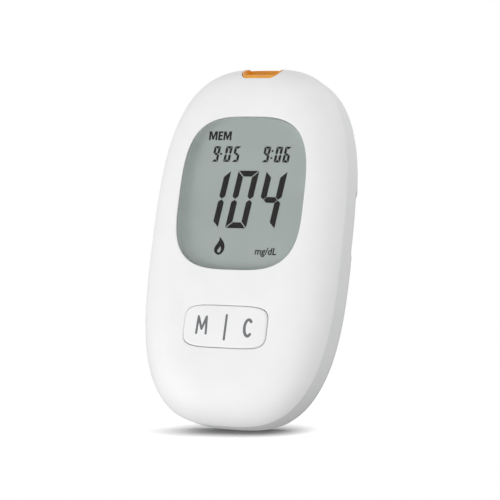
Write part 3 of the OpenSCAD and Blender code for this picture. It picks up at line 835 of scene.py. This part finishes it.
both = add(tree, "ShaderNodeMixShader",
           {0: mirrored.outputs[0], 1: clear.outputs["BSDF"], 2: shine.outputs["BSDF"]})
tree.links.new(both.outputs["Shader"], out.inputs["Surface"])

coat(lens, acrylic, lens_side)
WALL_Z = LENS_LOW + RIM_T + 1      # only the plug's side wall reaches above this height
for face in lens.data.polygons:
    tall = max(lens.data.vertices[v].co.z for v in face.vertices) > WALL_Z * MM
    face.material_index = int(abs(face.normal.z) < 0.1 and tall)
coat(segments, lcd_dark)
print("window side faces", sum(f.material_index for f in lens.data.polygons))

# %% [markdown]
# ## Inner finishes
# What is inside is seen only when the meter is opened or through its slots, but each
# piece still has the finish it would have on the bench.

# %% Solder mask with copper tracks under it
TRACK, CLOUD, COPPER_T = 4, 2, 0.03
mask, tree, out = blank("solder_mask_green")
place = add(tree, "ShaderNodeTexCoord").outputs["Object"]
tracks = add(tree, "ShaderNodeTexBrick",
             {"Vector": place, "Scale": 1 / (TRACK * MM), "Mortar Size": 0.03,
              "Color1": linear("1b5a34"), "Color2": linear("1f6139"),
              "Mortar": linear("3a7f4a")})
cloudy = add(tree, "ShaderNodeTexNoise", {"Vector": place, "Scale": 1 / (CLOUD * MM)})
sheen = add(tree, "ShaderNodeMapRange",
            {"Value": cloudy.outputs["Fac"], "To Min": 0.25, "To Max": 0.4})
raised = add(tree, "ShaderNodeBump", {"Height": tracks.outputs["Fac"], "Strength": 0.4,
                                      "Distance": COPPER_T * MM})
shader = add(tree, "ShaderNodeBsdfPrincipled",
             {"Base Color": tracks.outputs["Color"], "Roughness": sheen.outputs["Result"],
              "Normal": raised.outputs["Normal"], "IOR": 1.55})
tree.links.new(shader.outputs["BSDF"], out.inputs["Surface"])
print("board in", mask.name)

# %% Other inner finishes
inner = {
    # Foam tape: dull and a little blotchy.
    "lens_tape": surface("acrylic_tape", "c9cdcb", "d2d5d3", 0.2, (0.6, 0.7), patch=2.0),
    # Both glasses carry the polariser, and the film behind them has a silky shine.
    "lcd_rear_glass": polariser,
    "lcd_front_glass": polariser,
    "lcd_reflector": surface("reflector_film", "a3aaa6", "b0b6b2", 0.15, (0.25, 0.35), 0.002),
    # Moulded polycarbonate: ivory and half matt.
    "lcd_holder": surface("polycarbonate_ivory", "dcd9ce", "e4e1d6", 0.3, (0.45, 0.55),
                          IOR=1.58),
    # Layered silicone: dark, dull and finely uneven.
    "zebra_strip": surface("silicone_layered", "3a3736", "524e4c", 0.12, (0.6, 0.7),
                           patch=0.4),
    "circuit_board": mask,
    # Moulded silicone: soft grey, without any shine.
    "key_mat": surface("silicone_grey", "b8babd", "c4c6c8", 0.25, (0.6, 0.72), IOR=1.41),
    # Glass-filled polymer: black and half matt.
    "strip_connector": surface("lcp_black", "17171a", "212124", 0.2, (0.45, 0.6)),
    # Gold plating on stamped springs: warm and bright.
    "strip_contacts": surface("gold_plating", "d9ad52", "e3bd6a", 0.1, (0.18, 0.3), 0.001,
                              patch=0.8, Metallic=1.0),
    "cell_contact_plus": surface("gold_flash", "d2a850", "dfb964", 0.1, (0.2, 0.32), 0.001,
                                 patch=1.5, Metallic=1.0),
    # Epoxy: black, with a dusty bloom.
    "microcontroller": surface("epoxy_black", "141416", "1e1e21", 0.12, (0.5, 0.65)),
    # Nickel on a drawn can: a little yellowish and smooth.
    "crystal": surface("nickel_can", "b7b7b4", "c6c6c3", 0.2, (0.2, 0.3), 0.001,
                       Metallic=1.0),
    "buzzer": surface("ppo_black", "18181a", "242427", 0.25, (0.45, 0.6)),
    # Fired ceramic: tan, matt and finely mottled.
    "chip_parts": surface("ceramic_tan", "a08762", "b39a74", 0.1, (0.5, 0.65), patch=0.6),
    # Steel of the cell, and zinc on the screws, which is greyer and duller.
    "coin_cell": surface("cell_steel", "b4b5b4", "c8c8c6", 0.15, (0.22, 0.36), 0.002,
                         patch=3.0, Metallic=1.0),
    "case_screws": surface("zinc_steel", "9fa1a3", "b5b6b7", 0.15, (0.28, 0.42), 0.003,
                           patch=0.9, Metallic=1.0),
}
inner["memory_chip"] = inner["microcontroller"]
inner["cell_contact_minus"] = inner["cell_contact_plus"]
outer = {"front_cover": abs_front, "rear_cover": abs_rear, "battery_door": abs_rear,
         "key_cap": abs_key, "strip_port": abs_orange, "display_lens": acrylic}
for name, mat in {**inner, **outer}.items():
    coat(nodes[name], mat)
print("nodes without a finish", sorted(set(nodes) - set(inner) - set(outer)))

# %% [markdown]
# ## Floor
# The meter stands on its lower end on a white floor that runs out into a white
# background, so three kinds of ray see it differently. The camera sees a white with a
# painted contact shadow in the nook under the meter, a dark grey that ambient occlusion
# mixes in, and pure white away from it. Shadow rays pass, so the lamps below its level
# shine through. Every other ray meets a dim white glow, painted bounce light, that
# turns black near the meter's foot as painted shade, because in the picture the
# underside is grey.

# %% Floor
FLOOR_TILT = math.radians(4)       # how far the camera looks down on the floor
FLOOR_ROLL = math.radians(3)       # how far its right side rises, which levels the shadow
FLOOR_SIDE = 1.6                   # metres
FLOOR_GAP = 0.02
NOOK = 13                          # reach of the contact shadow
FADE = (60, 110)                   # from the foot, where the shaded white turns pure
# The thrown light is painted bounce light, and its fall to black near the foot is painted
# shade.
FOOT = 40                          # from the foot, where the thrown light is full
WHITE = (1, 1, 1, 1)
floor_up = (math.cos(FLOOR_TILT) * CAM_UP + math.sin(FLOOR_TILT) * CAM_BACK
            - math.sin(FLOOR_ROLL) * CAM_RIGHT).normalized()
lowest = min(floor_up.dot(p) for ring in back_rings(0, 0) for p in ring)
unselect()
bpy.ops.mesh.primitive_plane_add(size=FLOOR_SIDE)
floor = bpy.context.object
floor.name = "studio_floor"
floor.rotation_mode = "QUATERNION"
floor.rotation_quaternion = floor_up.to_track_quat("Z", "Y")
floor.location = floor_up * (lowest - FLOOR_GAP) * MM
to_origin(floor)
floor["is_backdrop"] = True

white, tree, out = blank("studio_white")
path = add(tree, "ShaderNodeLightPath").outputs
bright = add(tree, "ShaderNodeBsdfDiffuse", {"Color": WHITE})
twice = add(tree, "ShaderNodeAddShader", {0: bright.outputs[0], 1: bright.outputs[0]})
nook = add(tree, "ShaderNodeAmbientOcclusion", {"Distance": NOOK * MM}, samples=8)
# Painted contact shadow: a dark grey floor wherever ambient occlusion finds the meter close.
painted_contact_shade = add(tree, "ShaderNodeBsdfDiffuse", {"Color": (0.25, 0.25, 0.25, 1)})
opened = add(tree, "ShaderNodeMapRange",
             {"Value": nook.outputs["AO"], "From Min": 0.05, "From Max": 0.85})
near = add(tree, "ShaderNodeMixShader",
           {0: opened.outputs["Result"], 1: painted_contact_shade.outputs[0], 2: twice.outputs[0]})
place = add(tree, "ShaderNodeTexCoord").outputs["Object"]
away = add(tree, "ShaderNodeVectorMath", {0: place, 1: floor_up * lowest * MM},
           operation="DISTANCE")
fade = add(tree, "ShaderNodeMapRange",
           {"Value": away.outputs["Value"], "From Min": FADE[0] * MM,
            "From Max": FADE[1] * MM})
far = add(tree, "ShaderNodeEmission", {"Color": WHITE, "Strength": 1.0})
seen = add(tree, "ShaderNodeMixShader",
           {0: fade.outputs["Result"], 1: near.outputs[0], 2: far.outputs[0]})
# Painted bounce light: the floor glows for rays from the meter, fading to black at its foot as
# painted shade.
back = add(tree, "ShaderNodeMapRange",
           {"Value": away.outputs["Value"], "From Max": FOOT * MM, "To Min": 0.0,
            "To Max": 0.4})
painted_bounce_glow = add(tree, "ShaderNodeEmission",
             {"Color": WHITE, "Strength": back.outputs["Result"]})
gone = add(tree, "ShaderNodeBsdfTransparent")
lets_by = add(tree, "ShaderNodeMixShader",
              {0: path["Is Shadow Ray"], 1: painted_bounce_glow.outputs[0], 2: gone.outputs[0]})
pick = add(tree, "ShaderNodeMixShader",
           {0: path["Is Camera Ray"], 1: lets_by.outputs[0], 2: seen.outputs[0]})
behind = add(tree, "ShaderNodeNewGeometry").outputs["Backfacing"]
one_sided = add(tree, "ShaderNodeMixShader",
                {0: behind, 1: pick.outputs[0], 2: gone.outputs[0]})
tree.links.new(one_sided.outputs["Shader"], out.inputs["Surface"])
coat(floor, white)
print("floor's normal", tuple(round(x, 3) for x in floor_up))

# %% [markdown]
# ## World
# A product picture has white all round. The camera, and what mirrors or passes light,
# sees that white at full strength. The meter itself is lit by half of it, so that the
# lamps can still model its form.

# %% World
AROUND, BACKDROP = 0.5, 1.0
world = bpy.data.worlds.new("studio")
bpy.context.scene.world = world
world.use_nodes = True
tree = world.node_tree
tree.nodes.clear()
out = add(tree, "ShaderNodeOutputWorld")
path = add(tree, "ShaderNodeLightPath")
eye = path.outputs["Is Camera Ray"]
for ray in ("Is Glossy Ray", "Is Transmission Ray"):
    eye = add(tree, "ShaderNodeMath", {0: eye, 1: path.outputs[ray]},
              operation="MAXIMUM").outputs[0]
around = add(tree, "ShaderNodeBackground", {"Color": WHITE, "Strength": AROUND})
backdrop = add(tree, "ShaderNodeBackground", {"Color": WHITE, "Strength": BACKDROP})
mixed = add(tree, "ShaderNodeMixShader",
            {0: eye, 1: around.outputs[0], 2: backdrop.outputs[0]})
tree.links.new(mixed.outputs[0], out.inputs["Surface"])
print("world strengths", AROUND, BACKDROP)

# %% [markdown]
# ## Softboxes
# Four large square lamps light the meter softly. The one from the left is the strongest,
# and the right flank gets hardly any, as in the picture. Each lamp's power follows from
# how bright it makes white that faces it, so the four shares can be compared.

# %% Softboxes
LAMP_AWAY = 1.5                    # metres from the meter


def softbox(name, direction, size, share):
    """A square lamp, size metres wide, aimed at the meter."""
    way = Vector(direction).normalized()
    unselect()
    bpy.ops.object.light_add(type="AREA", location=way * LAMP_AWAY)
    lamp = bpy.context.object
    lamp.name = lamp.data.name = name
    lamp.data.shape, lamp.data.size = "SQUARE", size
    lamp.data.energy = share * (math.pi * LAMP_AWAY) ** 2
    lamp.rotation_mode = "QUATERNION"
    lamp.rotation_quaternion = way.to_track_quat("Z", "Y")
    print(name, round(lamp.data.energy, 2), "W")


softbox("softbox_left", (-0.66, -0.38, 0.64), 0.9, 0.44)
softbox("softbox_front", (0.3, -0.47, 0.83), 0.9, 0.315)
softbox("softbox_top", (0.5, 0.87, 0.05), 1.1, 0.24)
softbox("softbox_right", (0.98, -0.17, 0.0), 0.9, 0.05)
bpy.context.scene.view_settings.view_transform = "Standard"

# %% [markdown]
# ## Sizes, and the end
# The dressed meter's box, over every shown piece but the floor, is printed in
# millimetres.

# %% Sizes, and the end
low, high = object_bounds()
print("visual box in mm", [round(1000 * s, 2) for s in high - low])
